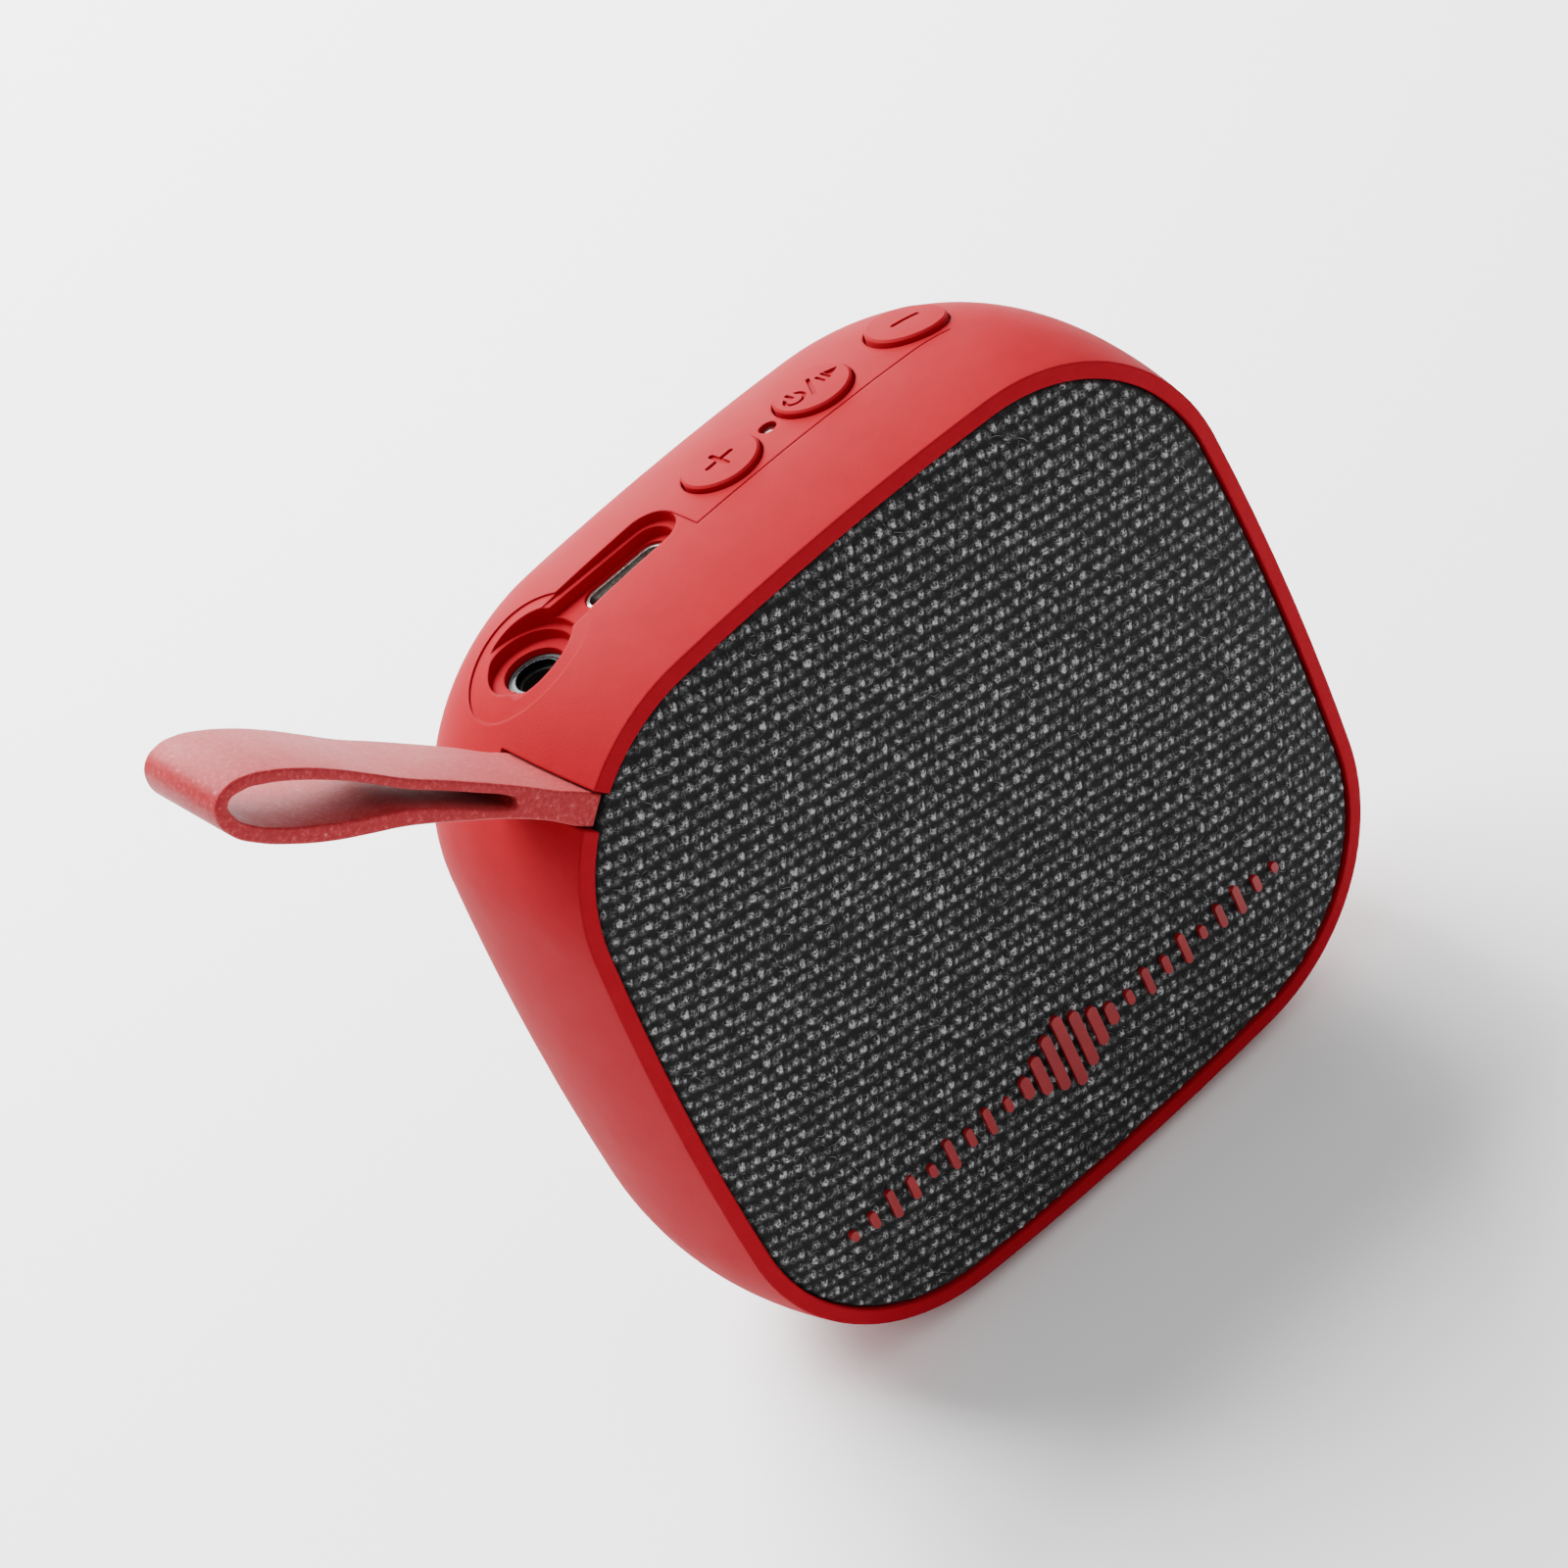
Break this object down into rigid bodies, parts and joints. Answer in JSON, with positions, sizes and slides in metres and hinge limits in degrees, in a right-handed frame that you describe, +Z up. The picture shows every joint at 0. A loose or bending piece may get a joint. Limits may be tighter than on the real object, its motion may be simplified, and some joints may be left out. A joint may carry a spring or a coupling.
{
  "type": "portable wireless speaker",
  "caption": "Pocket-size rounded-square wireless speaker with a fabric front, press buttons and ports on top, and a short silicone wrist loop at one corner.",
  "frame": {"origin": "centre of the resting face of the rubber foot under the bottom side", "axes": "+Z up through the buttons and ports on the top side, -Y out of the fabric front, +X to the right when the fabric front is faced"},
  "size_m": [0.0979, 0.0326, 0.0949],
  "materials": {
    "red_shell": "soft-touch matte red",
    "red_button": "soft-touch matte red",
    "red_trim": "satin red",
    "red_silicone": "mottled matte red silicone",
    "knit_fabric": "charcoal heather knit",
    "black_plastic": "moulded matte black",
    "steel": "zinc-plated",
    "nickel": "bright nickel",
    "ferrite": "sintered dark grey",
    "paper": "pressed paper",
    "copper": "enamelled wire",
    "soft_rubber": "matte black",
    "spider_cloth": "resin-stiffened cloth",
    "circuit_board": "green solder mask",
    "chip_black": "moulded epoxy",
    "led_white": "clear lens",
    "clear_pipe": "clear moulded",
    "battery_wrap": "shrink wrap"
  },
  "bodies": {
    "speaker": {"housing": "red_shell", "fabric_cover": "knit_fabric", "grille_plate": "black_plastic", "front_emblem": "red_trim", "baffle": "black_plastic", "baffle_screws": "steel", "driver_gasket": "soft_rubber", "driver_basket": "steel", "driver_top_plate": "steel", "driver_magnet": "ferrite", "driver_yoke": "steel", "driver_surround": "soft_rubber", "driver_spider": "spider_cloth", "driver_terminals": "black_plastic", "main_board": "circuit_board", "board_screws": "steel", "radio_chip": "chip_black", "amplifier_chip": "chip_black", "battery_connector": "led_white", "usb_shell": "nickel", "usb_tongue": "black_plastic", "audio_socket": "black_plastic", "audio_socket_ring": "nickel", "status_led": "led_white", "light_pipe": "clear_pipe", "battery_cell": "battery_wrap", "battery_foam": "soft_rubber", "rubber_foot": "soft_rubber", "strap_anchor": "red_silicone", "plus_switch": "black_plastic", "power_switch": "black_plastic", "minus_switch": "black_plastic"},
    "strap": {"strap_loop": "red_silicone"},
    "cone_assembly": {"driver_cone": "paper", "driver_dust_cap": "paper", "driver_voice_coil": "copper"},
    "plus_key": {"plus_button": "red_button", "plus_plunger": "led_white"},
    "power_key": {"power_button": "red_button", "power_plunger": "led_white"},
    "minus_key": {"minus_button": "red_button", "minus_plunger": "led_white"}
  },
  "joints": [
    {"name": "plus_press", "type": "slide", "parent": "speaker", "child": "plus_key", "axis": [-0.0023, 0, -1], "range_m": [0, 0.0003], "stiffness_N_per_m": 1500},
    {"name": "power_press", "type": "slide", "parent": "speaker", "child": "power_key", "axis": [-0.0425, 0, -0.9991], "range_m": [0, 0.0003], "stiffness_N_per_m": 1500},
    {"name": "minus_press", "type": "slide", "parent": "speaker", "child": "minus_key", "axis": [-0.2243, 0, -0.9745], "range_m": [0, 0.0003], "stiffness_N_per_m": 1500},
    {"name": "strap_bend", "type": "hinge", "parent": "speaker", "child": "strap", "pos_m": [-0.03267, -0.00845, 0.07161], "axis": [0, 1, 0], "range_deg": [-55, 55], "stiffness_Nm_per_rad": 0.05},
    {"name": "cone_stroke", "type": "slide", "parent": "speaker", "child": "cone_assembly", "axis": [0, 1, 0], "range_m": [-0.001, 0.001], "stiffness_N_per_m": 900, "deforming": ["driver_surround", "driver_spider"]}
  ]
}
